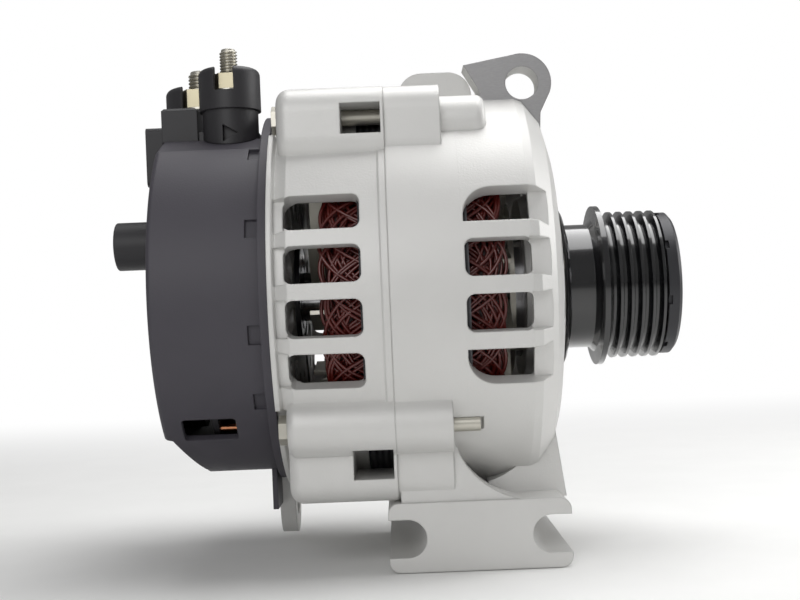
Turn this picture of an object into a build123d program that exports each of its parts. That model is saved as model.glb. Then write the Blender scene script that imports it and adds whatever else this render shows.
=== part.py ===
from build123d import *
import math
import os

# Car alternator with an overrunning belt pulley, in millimetres.
# X runs along the shaft towards the pulley and is 0 at the seam between the two aluminium frames.
# Y runs across, Z up. Pieces are drawn about the shaft axis, then moved so that the origin is on
# the foot's base, midway along the foot and right under the shaft.

# ---- driving dimensions ----
shaft_height = 87.5        # foot base to shaft axis
slip = 0.05                # radial clearance of running fits
seat = 0.1                 # clearance of still pieces that sit in one another
gap = 0.3                  # clearance between pieces that only lie close

core_r = 62.0              # stator core outside radius
core_bore_r = 47.0
core_rear_x = -9.0
core_front_x = 24.0
crown_front_x = 37.0       # ends of the copper overhangs
crown_rear_x = -22.7
crown_in_r = 48.6
crown_out_r = 58.6
slot_count = 36
slot_width = 3.0
slot_bottom_r = 57.2

frame_wall = 4.6           # wall outside the stator core
rear_wall_x = -36.5        # outer face of the rear frame's end wall
rear_wall = 4.4
front_corner_x = 44.0      # where the drive end starts to close
front_wall = 5.0
hub_front_x = 56.0         # face of the drive end bearing hub
hub_r = 30.0

window_pitch = 14.4        # degrees between air windows
window_span = 9.8          # degrees that a window opens
window_corner = 2.6
end_window_corner = 9.0    # large outer corner of the end windows
bolt_circle_r = 66.4
bolt_angles = [39.0, 123.0, 219.0, 303.0]   # through bolts, degrees from the +Y direction
bolt_r = 2.5
boss_r = 9.3
block_y = -51.5            # near face of the square bosses
block_top_z = 64.0
block_low_z = 40.0
foot_block_top_z = -38.0
foot_block_low_z = -65.5

foot_rear_x = -3.5
foot_front_x = 53.2
foot_near_y = -50.0
foot_far_y = 28.0
foot_top = 21.5            # foot thickness
slot_half = 5.9            # half width of the foot's open slots
foot_slot_rear_x = 2.4     # centre of the rear slot's round end
foot_slot_front_x = 47.0
foot_slot_height = 10.5    # slot centre above the base

lug_x = 45.7               # adjusting lug, hole centre
lug_z = 66.9
lug_hole_r = 5.4
lug_r = 9.7
lug_near_y = -25.0
lug_thick = 12.0

ear_y = 20.0               # rear ear
ear_z = -73.0
ear_r = 11.5
ear_hole_r = 4.25
ear_thick = 5.5

cover_r = 59.0             # rear cover
cover_end_x = -73.7
cover_wall = 2.3
cover_rim_r = 62.0
cover_rim = 3.0
cover_flat_z = 52.5        # flat that the terminal housing stands on

shaft_r = 8.5              # front bearing seat and rotor body
shaft_rear_r = 7.5
shaft_tail_r = 6.0
shaft_nose_r = 8.0
shaft_front_x = 89.0
shaft_rear_x = -67.0
pole_r = 46.55             # rotor outside radius
pole_rear_x = -13.0
pole_front_x = 28.0
pole_disc = 9.0
pole_core_r = 15.5
pole_pairs = 6
claw_in_r = 38.0
claw_root_half = 12.0      # half width of a claw at its root and at its tip
claw_tip_half = 5.6

fan_disc = 1.5
fan_blade = 9.0
fan_rear_blade = 11.0
fan_r = 44.5
fan_blades_front = 11
fan_blades_rear = 13

bearing_front_x = 41.0     # 17 x 47 x 14 ball bearing
bearing_front_width = 14.0
bearing_front_r = 23.5
bearing_rear_x = -41.5     # 15 x 35 x 11 ball bearing
bearing_rear_width = 11.0
bearing_rear_r = 17.5
sleeve_wall = 1.5          # plastic sleeve round the rear bearing

ring_r = 8.5               # slip rings
ring_width = 6.5
ring_front_x = -50.5       # centre of each slip ring
ring_rear_x = -60.5

belt_ribs = 5              # grooved face of the pulley
rib_pitch = 3.56
rib_crest_r = 25.3
rib_depth = 3.0
first_rib_x = 76.0
flange_r = 27.5
flange_x = 71.0
drum_r = 21.3
pulley_rear_x = 60.0
pulley_front_x = 91.6
pulley_bore_r = 17.5
pulley_hub_r = 13.0
cap_r = 24.4
cap_front_x = 96.3

stud_main_x = -65.0        # M8 output terminal
stud_main_y = 8.0
stud_main_r = 3.95
stud_main_top = 81.5
stud_side_x = -51.0        # M6 terminal
stud_side_y = -19.0
stud_side_r = 2.95
stud_side_top = 83.0

plug_x = -94.5             # round plug socket at the back
plug_z = 20.0
plug_r = 8.35
plug_wall = 1.8

rectifier_near_x = -36.6   # faces of the two heat sinks that look at the frame
rectifier_far_x = -49.0
sink_thick = 3.0
sink_out_r = 52.0
sink_in_r = 24.0
diode_r = 6.4
diode_angles = [-165, -140, -115, -65, -40, -15]
cover_stud_places = [(47.0, -150), (36.0, -90), (47.0, -30)]   # radius and angle
cover_stud_r = 2.45
nut_pocket = 6.2           # depth and radius of the pockets that hide the cover's nuts
nut_pocket_r = 6.3

carrier_x = -56.5          # plate that joins the diodes and phase leads
carrier_thick = 2.0
lead_r = 1.2
lead_circle_r = 53.0
phase_angles = [-128, -103, -52]

holder_half = 8.0          # brush holder
holder_rear_x = -66.5
holder_front_x = -45.0
holder_bottom = 10.0
holder_top = 33.0
brush_x = 5.0
brush_y = 8.0
brush_play = 0.2
brush_length = 15.5
brush_travel = 5.0
regulator_top = 40.4
regulator_half = 21.0
regulator_screw_y = 16.0
regulator_screw_z = 37.0
regulator_screw_r = 2.0
busbar_z = 43.8            # underside of the tabs that the terminal studs stand on


# ---- shapes along the shaft ----
def rod_x(x0, x1, radius, y=0.0, z=0.0):
    """Solid rod along X from x0 to x1."""
    return Pos((x0 + x1) / 2, y, z) * Rot(0, 90, 0) * Cylinder(radius, abs(x1 - x0))


def tube_x(x0, x1, outer, inner, y=0.0, z=0.0):
    return rod_x(x0, x1, outer, y, z) - rod_x(x0 - 1, x1 + 1, inner, y, z)


def rod_z(x, y, z0, z1, radius):
    return Pos(x, y, (z0 + z1) / 2) * Cylinder(radius, z1 - z0)


def block(x0, x1, y0, y1, z0, z1):
    return Pos((x0 + x1) / 2, (y0 + y1) / 2, (z0 + z1) / 2) * Box(x1 - x0, y1 - y0, z1 - z0)


def turned(points):
    """Ring or disc turned about the shaft from (x, radius) points."""
    outline = make_face(Polyline(*[(x, 0, r) for x, r in points], close=True))
    return revolve(outline, Axis.X, 360)


def plate_y(outline, y0, y1):
    """Plate in the XZ plane between y0 and y1 from closed edges drawn at y = 0."""
    face = make_face(outline)
    return Pos(0, y0, 0) * extrude(face, amount=y1 - y0, dir=(0, 1, 0))


def about_shaft(shape, degrees):
    return Rot(degrees, 0, 0) * shape


def around(shape, count, start=0.0):
    return [about_shaft(shape, start + 360 * k / count) for k in range(count)]


def on_circle(radius, degrees):
    """Y and Z of a point at this angle from the +Y direction."""
    a = math.radians(degrees)
    return radius * math.cos(a), radius * math.sin(a)


def hexagon_rod_z(x, y, z0, z1, across_flats):
    face = RegularPolygon(across_flats / 2, 6, major_radius=False)
    return Pos(x, y, z0) * extrude(face, amount=z1 - z0)


def hexagon_rod_x(x0, x1, y, z, across_flats):
    face = RegularPolygon(across_flats / 2, 6, major_radius=False)
    return Pos(x0, y, z) * Rot(0, 90, 0) * extrude(face, amount=x1 - x0)


def write(node, *solids):
    """One STEP per named piece, moved so that the foot's base is centred on the origin."""
    kept = []
    for solid in solids:
        kept.extend(solid.solids())
    foot_mid_x = (foot_rear_x + foot_front_x) / 2
    placed = [Pos(-foot_mid_x, 0, shaft_height) * s for s in kept]
    shape = placed[0] if len(placed) == 1 else Compound(children=placed)
    export_step(shape, f"parts/{node}.step")
    print(node, len(placed), round(sum(s.volume for s in placed)))


def stud_places():
    return [on_circle(radius, angle) for radius, angle in cover_stud_places]


# ---- frames ----
frame_r = core_r + frame_wall
through_bolts = [on_circle(bolt_circle_r, a) for a in bolt_angles]


def air_window(x0, x1, corner, big_corner=0.0, big_side=0):
    """Cutter for one window through the wall on the -Y side, at the horizontal."""
    half = frame_r * math.radians(window_span) / 2
    face = Rectangle(x1 - x0, 2 * half)
    cutter = Pos((x0 + x1) / 2, -frame_r, 0) * Rot(90, 0, 0) * extrude(face, amount=16, both=True)
    edges = cutter.edges().filter_by(Axis.Y)
    if big_corner:
        wanted = edges.sort_by(Axis.X)
        outer = wanted[:2] if big_side > 0 else wanted[2:]
        small = wanted[2:] if big_side > 0 else wanted[:2]
        top = outer.sort_by(Axis.Z)[-1]
        cutter = fillet(top, min(big_corner, 1.9 * half))
        rest = cutter.edges().filter_by(Axis.Y).group_by(Axis.X)[-1 if big_side > 0 else 0]
        return fillet(rest, min(corner, half * 0.8)) if big_side < 0 else cutter
    return fillet(edges, min(corner, half * 0.8))


def window_angles():
    return [(k - 1.5) * window_pitch for k in range(4)]


def frame_windows(x0, x1, big_side):
    """Four windows in the near side and four in the far side."""
    cutters = []
    for angle in window_angles():
        is_end = abs(angle) > window_pitch
        plain = air_window(x0, x1, window_corner)
        shaped = air_window(x0, x1, window_corner, end_window_corner, big_side) if is_end and big_side else plain
        if is_end and angle > 0:
            shaped = mirror(shaped, about=Plane.XY) if big_side else shaped
        cutters.append(about_shaft(shaped, angle))
        cutters.append(about_shaft(mirror(shaped, about=Plane.XZ), -angle))
    return cutters


def corner_pockets(x0, x1, floor_r):
    """Shallow pockets that carry on past the windows between the bars."""
    half = frame_r * math.radians(window_span) / 2
    pockets = []
    for angle in window_angles():
        pocket = block(x0, x1, -frame_r - 12, -floor_r, -half, half)
        pockets.append(about_shaft(pocket, angle))
        pockets.append(about_shaft(mirror(pocket, about=Plane.XZ), -angle))
    return pockets


def end_wall_slots(x0, x1, inner, outer, count, width):
    slot = block(x0, x1, inner, outer, -width / 2, width / 2)
    slot = fillet(slot.edges().filter_by(Axis.X), width * 0.45)
    return around(slot, count, 180 / count)


def foot():
    base = -shaft_height
    top = base + foot_top
    solid = block(foot_rear_x, foot_front_x, foot_near_y, foot_far_y, base, top)
    solid = fillet(solid.edges().filter_by(Axis.Y), 3.6)
    slot_z = base + foot_slot_height
    for x_round, x_open in ((foot_slot_rear_x, foot_rear_x - 5), (foot_slot_front_x, foot_front_x + 5)):
        run = block(min(x_round, x_open), max(x_round, x_open), foot_near_y - 1, foot_far_y + 1,
                    slot_z - slot_half, slot_z + slot_half)
        y_mid = (foot_near_y + foot_far_y) / 2
        depth = foot_far_y - foot_near_y + 2
        end = Pos(x_round, y_mid, slot_z) * Rot(90, 0, 0) * Cylinder(slot_half, depth)
        solid = solid - run - end
    return solid - rod_x(foot_rear_x - 1, 0, frame_r + gap)


def foot_webs():
    """Ribs that carry the drive end frame on its foot."""
    top = -shaft_height + foot_top
    near = plate_y(
        Line((0.8, 0, top - 2), (0.8, 0, -40)) + Line((0.8, 0, -40), (17.3, 0, -40))
        + ThreePointArc((17.3, 0, -40), (23.6, 0, -58), (38, 0, top)) + Line((38, 0, top), (38, 0, top - 2))
        + Line((38, 0, top - 2), (0.8, 0, top - 2)),
        foot_near_y + 1.2, foot_near_y + 13)
    second = plate_y(
        Line((54, 0, top - 2), (49.5, 0, -34)) + Line((49.5, 0, -34), (47.5, 0, -34))
        + ThreePointArc((47.5, 0, -34), (42.8, 0, -53), (29, 0, top + 3.6))
        + Line((29, 0, top + 3.6), (29, 0, top - 2)) + Line((29, 0, top - 2), (54, 0, top - 2)),
        -33, -23)
    far = block(3, 45, foot_far_y - 14, foot_far_y - 4, top - 2, -40)
    middle = block(3, 12, foot_near_y + 6, foot_far_y - 6, top - 2, -52)
    return near, second, far, middle


def lug():
    tip = (26.7, 0, 73.4)
    up = (lug_x - lug_r * math.sin(math.radians(16)), 0, lug_z + lug_r * math.cos(math.radians(16)))
    side = (lug_x + lug_r * math.cos(math.radians(20)), 0, lug_z - lug_r * math.sin(math.radians(20)))
    outline = (
        Line(tip, up)
        + ThreePointArc(up, (lug_x + lug_r * 0.7071, 0, lug_z + lug_r * 0.7071), side)
        + Line(side, (51.5, 0, 57)) + Line((51.5, 0, 57), (51.0, 0, 48))
        + Line((51.0, 0, 48), (36, 0, 48)) + Line((36, 0, 48), (31, 0, 66)) + Line((31, 0, 66), tip))
    plate = plate_y(outline, lug_near_y, lug_near_y + lug_thick)
    rib = block(28.5, 44, lug_near_y + 3, lug_near_y + lug_thick + 6, 44, 64)
    return plate + fillet(rib.edges().filter_by(Axis.Y), 3)


def drive_end_frame():
    shell = turned([
        (0, 40), (0, frame_r), (front_corner_x - 1.5, frame_r), (front_corner_x + 1.2, frame_r - 1.0),
        (50.6, frame_r - 7.5), (53.4, 50), (hub_front_x, hub_r + 4), (hub_front_x, 0), (44, 0), (44, 40)])

    bosses = []
    for y, z in through_bolts:
        wide = rod_x(0, 17.5, boss_r, y * 0.985, z * 0.985)
        bosses.append(wide)
        if y > 0 or z > 0:
            narrow = rod_x(17, 32, boss_r - 1.2, y * 1.05, z * 0.95)
            bosses.append(fillet(narrow.edges().sort_by(Axis.X)[-1], 3))
    square = block(0, 17.5, foot_near_y, -30, foot_block_low_z, foot_block_top_z - 1)
    square = fillet(square.edges().filter_by(Axis.X).sort_by(Axis.Y)[:2], 7)
    upper = block(0, 17.5, foot_near_y, -26, block_low_z - 1.5, block_top_z)
    bosses.append(fillet(upper.edges().filter_by(Axis.X).sort_by(Axis.Y)[:2], 8))
    crown = fillet(block(5, 30, -9, 16, 55, 74.5).edges().filter_by(Axis.Y), 8)
    solid = shell + bosses + square + crown + foot() + list(foot_webs()) + lug()
    cavity = turned([
        (-2, 0), (-2, core_r + seat), (core_front_x + gap, core_r + seat), (core_front_x + gap, core_r - 1.4),
        (front_corner_x - 2, core_r - 1.4), (front_corner_x + 0.6, core_r - 6), (48.4, 49),
        (48.4, hub_r + 2.5), (bearing_front_x - gap, hub_r), (bearing_front_x - gap, 0)])
    bore = rod_x(bearing_front_x - 2, bearing_front_x + bearing_front_width, bearing_front_r + slip)
    lip = rod_x(0, hub_front_x + 2, bearing_front_r - 4.0)
    solid = solid - cavity - bore - lip
    solid = solid - frame_windows(22.5, 42.8, 1) - corner_pockets(42.0, 50.2, frame_r - 5.2)
    solid = solid - end_wall_slots(46, 60, 35, 49, 14, 8.2)
    for y, z in through_bolts:
        solid = solid - rod_x(-1, 27, bolt_r + seat, y, z)
    for angle in range(45, 405, 90):
        ys, zs = on_circle(27.0, angle)
        solid = solid - rod_x(38, 50, 1.95 + seat, ys, zs)
    relief = block(lug_x - lug_hole_r - 0.6, 53, lug_near_y + lug_thick, 18, lug_z - lug_hole_r - 0.05, 76)
    hole = Pos(lug_x, lug_near_y + lug_thick / 2, lug_z) * Rot(90, 0, 0) * Cylinder(lug_hole_r, lug_thick + 2)
    return solid - relief - hole


def rear_end_frame():
    inner_x = rear_wall_x + rear_wall
    shell = turned([
        (0, 40), (0, frame_r - 0.4), (-2.2, frame_r - 0.4), (-2.6, frame_r - 0.9), (-30.5, frame_r - 1.4),
        (-34.2, frame_r - 3.6), (-35, 64.6), (rear_wall_x, 64.6), (rear_wall_x, 0), (inner_x, 0), (inner_x, 40)])
    bosses = []
    for y, z in through_bolts:
        boss = rod_x(-33.0, 0, boss_r, y * 0.985, z * 0.985)
        bosses.append(fillet(boss.edges().sort_by(Axis.X)[0], 3))
    square = block(-33.4, 0, block_y, -26, foot_block_low_z, foot_block_top_z)
    square = fillet(square.edges().filter_by(Axis.X).sort_by(Axis.Y)[:2], 7)
    square = fillet(square.edges().filter_by(Axis.Y).group_by(Axis.X)[0], 4)
    upper = block(-33.4, 0, block_y, -26, block_low_z, block_top_z)
    upper = fillet(upper.edges().filter_by(Axis.X).sort_by(Axis.Y)[:2], 8)
    bosses.append(fillet(upper.edges().filter_by(Axis.Y).group_by(Axis.X)[0], 4))
    ear = block(-42.5, -42.5 + ear_thick, ear_y - ear_r, ear_y + ear_r, ear_z, -60)
    ear = ear + rod_x(-42.5, -42.5 + ear_thick, ear_r, ear_y, ear_z)
    ear = ear + block(-42.5, -33, ear_y - ear_r, ear_y + ear_r, -70, -58)
    hub = rod_x(bearing_rear_x, inner_x, bearing_rear_r + sleeve_wall + 4.5)
    for side in (-1, 1):
        hub = hub + rod_x(holder_front_x + seat, inner_x, 4.4, side * regulator_screw_y, regulator_screw_z)
    solid = shell + bosses + square + (ear - rod_x(-60, rear_wall_x, cover_rim_r + gap)) + hub
    cavity = turned([
        (2, 0), (2, core_r + seat), (core_rear_x - seat, core_r + seat), (core_rear_x - seat, core_r - 1.8),
        (-27.5, core_r - 1.8), (inner_x, core_r - 6), (inner_x, 0)])
    solid = solid - cavity - rod_x(bearing_rear_x - 1, inner_x + 1, bearing_rear_r + sleeve_wall + seat)
    solid = solid - frame_windows(-31.6, -8.3, 0) - corner_pockets(-34.6, -31.0, frame_r - 5.0)
    view = block(-13.4, -1, -90, -14, 48.5, 58) + block(-13.4, -1, -90, -14, -58, -48.5)
    view = view + mirror(view, about=Plane.XZ)
    solid = solid - (view - rod_x(-20, 5, core_r + seat))
    solid = solid - end_wall_slots(-42, inner_x + 1, 27, 50, 12, 7.0)
    for y, z in through_bolts:
        solid = solid - rod_x(-40, 1, bolt_r + seat, y, z) - rod_x(-45, -31.5, 6.4, y, z)
    for side in (-1, 1):
        solid = solid - rod_x(-50, -37, regulator_screw_r + seat, side * regulator_screw_y, regulator_screw_z)
    solid = pierced(solid, -40, -30, stud_places(), cover_stud_r + seat)
    solid = pierced(solid, -40, -30, diode_places(phase_angles, lead_circle_r), lead_r + 0.8)
    return solid - rod_x(-50, -30, ear_hole_r, ear_y, ear_z - 1)


def through_bolt(y, z):
    shank = rod_x(-31.4, 26, bolt_r, y, z)
    flange = rod_x(-32.6, -31.5, 5.6, y, z)
    head = hexagon_rod_x(-35.6, -32.6, y, z, 8.0)
    return shank + flange + head


# ---- stator ----
def stator_core():
    ring = tube_x(core_rear_x, core_front_x, core_r, core_bore_r)
    slot = block(core_rear_x - 1, core_front_x + 1, core_bore_r - 2, slot_bottom_r, -slot_width / 2, slot_width / 2)
    return ring - around(slot, slot_count)


def stator_winding():
    rear = tube_x(crown_rear_x, core_rear_x - gap, crown_out_r, crown_in_r)
    front = tube_x(core_front_x + gap, crown_front_x, crown_out_r, crown_in_r)
    bar_half = slot_width / 2 - 0.2
    bar = block(core_rear_x - 1, core_front_x + 1, crown_in_r + 1, slot_bottom_r - 0.2, -bar_half, bar_half)
    rear = fillet(rear.edges().group_by(Axis.X)[0], 3)
    front = fillet(front.edges().group_by(Axis.X)[-1], 3)
    return rear + front + around(bar, slot_count)


# ---- ball bearings ----
def bearing(x0, width, outer_r, bore_r, ball_r, balls):
    """Outer ring, inner ring, balls with their cage, and two shields."""
    pitch_r = (outer_r + bore_r) / 2
    x_mid = x0 + width / 2
    groove = Pos(x_mid, 0, 0) * Rot(0, 90, 0) * Torus(pitch_r, ball_r + slip)
    outer = tube_x(x0, x0 + width, outer_r, pitch_r + ball_r * 0.62) - groove
    inner = tube_x(x0, x0 + width, pitch_r - ball_r * 0.62, bore_r) - groove
    set_of_balls = []
    room = []
    for k in range(balls):
        y, z = on_circle(pitch_r, 360 * k / balls)
        set_of_balls.append(Pos(x_mid, y, z) * Sphere(ball_r))
        room.append(Pos(x_mid, y, z) * Sphere(ball_r + slip))
    cage = tube_x(x_mid - ball_r * 0.7, x_mid + ball_r * 0.7, pitch_r + 0.7, pitch_r - 0.7) - room
    shield_out = pitch_r + ball_r * 0.62 - slip
    shield_in = pitch_r - ball_r * 0.62 + gap
    shields = [
        tube_x(x0 + 0.5, x0 + 1.1, shield_out, shield_in),
        tube_x(x0 + width - 1.1, x0 + width - 0.5, shield_out, shield_in)]
    return outer, inner, set_of_balls + [cage], shields


# ---- rotor ----
def rotor_shaft():
    solid = turned([
        (shaft_rear_x, 0), (shaft_rear_x, shaft_tail_r - 0.8), (shaft_rear_x + 0.8, shaft_tail_r),
        (bearing_rear_x, shaft_tail_r), (bearing_rear_x, shaft_rear_r),
        (bearing_rear_x + bearing_rear_width, shaft_rear_r), (bearing_rear_x + bearing_rear_width, shaft_r),
        (bearing_front_x + bearing_front_width, shaft_r), (bearing_front_x + bearing_front_width, shaft_nose_r),
        (shaft_front_x - 1, shaft_nose_r), (shaft_front_x, shaft_nose_r - 1), (shaft_front_x, 0)])
    socket = Pos(shaft_front_x - 8, 0, 0) * Rot(0, 90, 0) * extrude(RegularPolygon(4, 6), amount=20)
    return solid - socket


def claw_pole(direction):
    """Claw with its root disc at the front (+1) or the rear (-1)."""
    root_x = pole_front_x if direction > 0 else pole_rear_x
    tip_x = pole_rear_x + 2.5 if direction > 0 else pole_front_x - 2.5
    mid_x = (pole_rear_x + pole_front_x) / 2
    disc_in = root_x - direction * pole_disc
    hub = rod_x(disc_in, root_x, 31) + rod_x(mid_x + direction * 0.1, disc_in, pole_core_r)
    finger_outline = Polyline(
        (root_x, -claw_root_half), (disc_in, -claw_root_half), (tip_x, -claw_tip_half),
        (tip_x, claw_tip_half), (disc_in, claw_root_half), (root_x, claw_root_half), close=True)
    finger = Pos(0, 0, claw_in_r) * extrude(make_face(finger_outline), amount=12)
    arm = block(min(root_x, disc_in), max(root_x, disc_in), -claw_root_half, claw_root_half, 20, 48)
    finger = (finger + arm) & rod_x(pole_rear_x - 1, pole_front_x + 1, pole_r)
    start = 0 if direction > 0 else 180 / pole_pairs
    solid = hub + around(finger, pole_pairs, start)
    return solid - rod_x(-20, 40, shaft_r + slip)


def coil_bobbin():
    x0 = pole_rear_x + pole_disc + 0.1
    x1 = pole_front_x - pole_disc - 0.1
    body = tube_x(x0, x1, pole_core_r + 1.6, pole_core_r + seat)
    return body + tube_x(x0, x0 + 1.5, 35.5, pole_core_r + seat) + tube_x(x1 - 1.5, x1, 35.5, pole_core_r + seat)


def field_coil():
    x0 = pole_rear_x + pole_disc + 1.7
    x1 = pole_front_x - pole_disc - 1.7
    return tube_x(x0, x1, 35.0, pole_core_r + 1.7)


def cooling_fan(x_back, direction, height, blades):
    """Pressed fan whose disc lies on the pole face at x_back."""
    x_face = x_back + direction * fan_disc
    x_end = x_face + direction * height
    disc = tube_x(min(x_back, x_face), max(x_back, x_face), 30, shaft_r + 3)
    arm = block(min(x_back, x_face), max(x_back, x_face), 26, fan_r, -7, 4)
    blade = block(min(x_face, x_end), max(x_face, x_end), 28.5, fan_r, -0.7, 0.7)
    blade = Pos(0, 36, 0) * Rot(direction * 32, 0, 0) * Pos(0, -36, 0) * blade
    arms = around(arm, blades) + around(blade, blades)
    return (disc + arms) & rod_x(-60, 60, fan_r + 0.4)


def slip_ring_carrier():
    body = tube_x(shaft_rear_x + 1, bearing_rear_x - 1.0, ring_r - 1.3, shaft_tail_r + seat)
    for x in (ring_front_x, ring_rear_x):
        for side in (-1, 1):
            edge = x + side * ring_width / 2
            body = body + tube_x(min(edge, edge + side), max(edge, edge + side), ring_r + 0.8, shaft_tail_r + seat)
    return body


def slip_ring(x):
    return tube_x(x - ring_width / 2, x + ring_width / 2, ring_r, ring_r - 1.25)


# ---- pulley ----
def pulley_ring():
    points = [(pulley_rear_x, pulley_bore_r), (pulley_rear_x, drum_r), (68, drum_r), (69.5, drum_r + 1.5),
              (flange_x - 0.9, flange_r), (flange_x + 0.9, flange_r), (flange_x + 2.8, rib_crest_r - rib_depth)]
    for k in range(belt_ribs):
        x = first_rib_x + k * rib_pitch
        points += [(x - 1.3, rib_crest_r - rib_depth), (x - 0.45, rib_crest_r), (x + 0.45, rib_crest_r),
                   (x + 1.3, rib_crest_r - rib_depth)]
    points += [(pulley_front_x, rib_crest_r - rib_depth), (pulley_front_x, pulley_bore_r)]
    return turned(points)


def pulley_hub():
    x0 = bearing_front_x + bearing_front_width + 4.6
    body = tube_x(x0, shaft_front_x - 0.5, pulley_hub_r, shaft_nose_r + slip)
    return body + tube_x(x0, x0 + 0.4, pulley_bore_r - 1, shaft_nose_r + slip)


def clutch_rollers():
    roller_r = (pulley_bore_r - pulley_hub_r) / 2 - slip
    mid_r = (pulley_bore_r + pulley_hub_r) / 2
    return [rod_x(69, 85, roller_r, *on_circle(mid_r, 360 * k / 16)) for k in range(16)]


def pulley_bushes():
    spans = ((61.5, 67.5), (85.6, 88.4))
    return [tube_x(x0, x1, pulley_bore_r - slip, pulley_hub_r + slip) for x0, x1 in spans]


def pulley_cap():
    rim_x = pulley_front_x + 0.1
    cap = turned([
        (rim_x, 0), (rim_x, cap_r), (cap_front_x - 1.2, cap_r), (cap_front_x, cap_r - 1.4), (cap_front_x, 0)])
    spigot = tube_x(pulley_front_x - 3, rim_x + 0.5, pulley_bore_r - seat, pulley_bore_r - 2.2)
    notch = block(rim_x - 0.1, rim_x + 1.1, cap_r - 1.2, cap_r + 1, -1.5, 1.5)
    ys = around(notch, 8, 15)
    dish = rod_x(cap_front_x - 1.0, cap_front_x + 1, cap_r - 6)
    return cap + spigot - ys - dish


# ---- rear cover and what it hides ----
def cover_outline(grow, x_end, x_open):
    """Drum of the cover with its flat, its facets and the stepped lower end, grown by `grow`."""
    drum = rod_x(x_end, x_open, cover_r + grow)
    drum = drum - block(x_end - 5, x_open + 5, -80, 80, cover_flat_z + grow, 90)
    facet = plate_y(
        Line((-200, 0, 0), (200, 0, 0)) + Line((200, 0, 0), (200, 0, 40)) + Line((200, 0, 40), (-200, 0, 40))
        + Line((-200, 0, 40), (-200, 0, 0)), -60, 60)
    lean = math.degrees(math.atan2(5.0, 13.0))
    for side in (-1, 1):
        drum = drum - Pos(0, side * 22, cover_flat_z + grow) * Rot(-side * lean, 0, 0) * facet
    low = cover_end_x + (cover_wall if grow < 0 else 0)
    step = plate_y(
        Polyline((low - 9, 0, -42 - grow), (low + 2.7, 0, -45 - grow), (low + 9.7, 0, -57 - grow),
                 (low + 9.7, 0, -75), (low - 9, 0, -75), close=True), -70, 70)
    return drum - step


def rear_cover():
    outer = cover_outline(0, cover_end_x, rear_wall_x - cover_rim + 0.5)
    outer = fillet(outer.faces().sort_by(Axis.X)[0].edges(), 1.6)
    rim = rod_x(rear_wall_x - cover_rim, rear_wall_x - seat, cover_rim_r)
    tab = block(-43, -41.2, -10, 6, -72, -56)
    inner = cover_outline(-cover_wall, cover_end_x + cover_wall, rear_wall_x + 5)
    solid = outer + rim + tab - inner
    for side in (-1, 1):
        slot = block(-67, -50, -cover_r - 4, -cover_r + 8, -5, 5)
        slot = fillet(slot.edges().filter_by(Axis.Y), 1.2)
        slot = about_shaft(slot, 45)
        solid = solid - (slot if side < 0 else mirror(slot, about=Plane.XZ))
    vent = block(cover_end_x - 1, cover_end_x + 5, 24, 40, -1.7, 1.7)
    vent = fillet(vent.edges().filter_by(Axis.X), 1.5)
    for angle in (-171, -153, -135, -117, -63, -45, -27, -9):
        solid = solid - about_shaft(vent, angle)
    notch = block(-43.5, -39.4, -cover_r - 4, -cover_r + 1.2, -3, 3)
    for angle in (-50, -20, 12, 34):
        solid = solid - about_shaft(notch, angle)
    solid = solid - rod_x(cover_end_x - 1, cover_end_x + 5, plug_r + gap, 0, plug_z)
    floor_x = cover_end_x + nut_pocket + 1.8
    for y, z in stud_places():
        solid = solid + (rod_x(cover_end_x + 1, floor_x, nut_pocket_r + 1.4, y, z) & cover_outline(-0.4, cover_end_x, -39))
    solid = pierced(solid, cover_end_x - 1, cover_end_x + nut_pocket, stud_places(), nut_pocket_r)
    solid = pierced(solid, cover_end_x - 1, floor_x + 1, stud_places(), cover_stud_r + seat)
    solid = solid - rod_z(stud_main_x, stud_main_y, 40, 60, stud_main_r + 1.0)
    solid = solid - rod_z(stud_side_x, stud_side_y, 40, 60, stud_side_r + 1.0)
    return solid


def terminal_housing():
    main_r = 12.0
    side_r = 9.2
    crown_r = 10.2
    base = block(-74, -62, -20, 30, cover_flat_z - 8, 64)
    base = chamfer(base.edges().group_by(Axis.Z)[-1], 0.8)
    socket = block(-87.5, cover_end_x - gap, 20, 40, 43, 64.5)
    socket = fillet(socket.edges().filter_by(Axis.X), 2.0)
    deck = block(-72, -42.5, -19, 28, cover_flat_z - 3, 56)
    main_tower = rod_z(stud_main_x, stud_main_y, cover_flat_z - 3, 75, main_r)
    main_tower = fillet(main_tower.edges().sort_by(Axis.Z)[-1], 2.5)
    side_tower = rod_z(stud_side_x, stud_side_y, 50, 72, side_r)
    side_tower = side_tower + Pos(stud_side_x, stud_side_y, 50) * (Sphere(side_r) - Pos(0, 0, 10) * Box(40, 40, 20))
    crown = rod_z(stud_side_x, stud_side_y, 62, 76, crown_r)
    crown = fillet(crown.edges().sort_by(Axis.Z)[-1], 2.2)
    solid = base + socket + deck + main_tower + side_tower + crown
    solid = solid - rod_z(stud_main_x, stud_main_y, 66.4, 90, 8.3)
    solid = solid - rod_z(stud_side_x, stud_side_y, 68.0, 90, 6.6)
    solid = solid - block(stud_main_x - 5, stud_main_x + 14, stud_main_y - 14, stud_main_y, 66.4, 90)
    solid = solid - block(stud_side_x - 3.9, stud_side_x + 2.5, stud_side_y - 14, stud_side_y, 68.0, 90)
    solid = solid - rod_z(stud_main_x, stud_main_y, 30, 70, stud_main_r + seat)
    solid = solid - rod_z(stud_side_x, stud_side_y, 30, 70, stud_side_r + seat)
    recess = Pos(stud_side_x, stud_side_y - side_r, 54) * Rot(90, 0, 0) * extrude(RegularPolygon(3.2, 3), amount=2.4, both=True)
    solid = solid - recess - cover_outline(seat, cover_end_x - seat, rear_wall_x + 5)
    return solid - block(-90, -78, 23, 37, 46, 61)


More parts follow.
